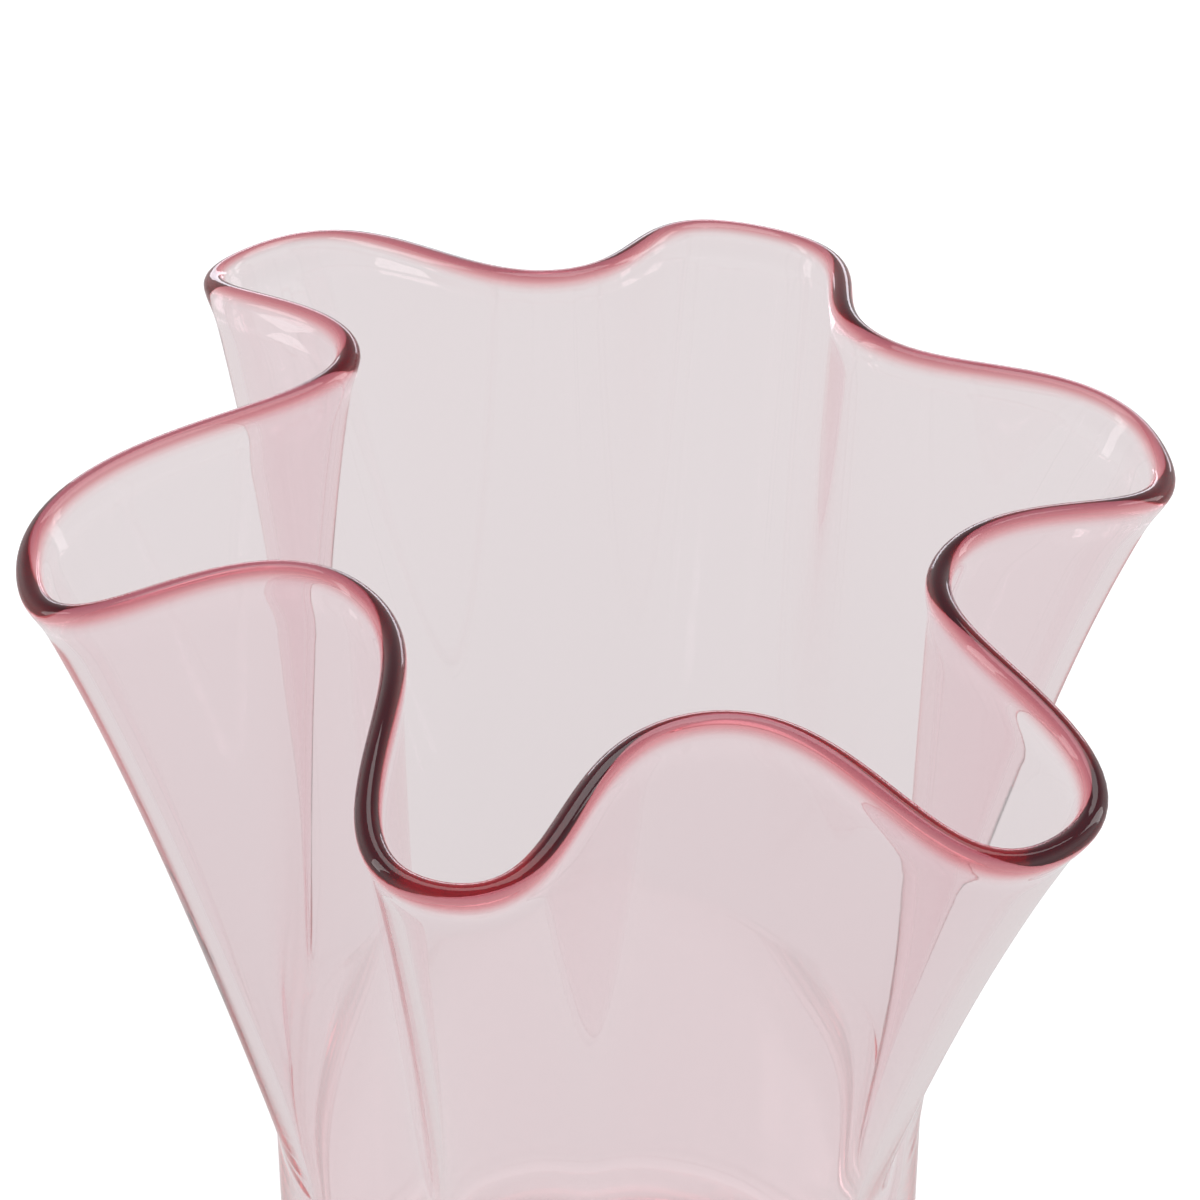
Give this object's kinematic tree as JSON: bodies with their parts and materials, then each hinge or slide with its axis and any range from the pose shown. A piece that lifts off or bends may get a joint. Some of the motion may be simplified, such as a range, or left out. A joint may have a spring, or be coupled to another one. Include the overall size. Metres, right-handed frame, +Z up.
{
  "type": "handkerchief vase",
  "caption": "Blown glass vase with a straight round body and a wide flare gathered into folds, for holding cut flowers.",
  "frame": {"origin": "centre of the flat base, on the surface the vase stands on", "axes": "+Z up along the axis of the round body; -Y towards the side that the picture is taken from; +X to the picture's right"},
  "size_m": [0.222, 0.2093, 0.272],
  "materials": {
    "pink_glass": "clear fire-polished glass, tinted pale pink in the mass"
  },
  "bodies": {
    "root": {"vase": "pink_glass"}
  },
  "joints": []
}
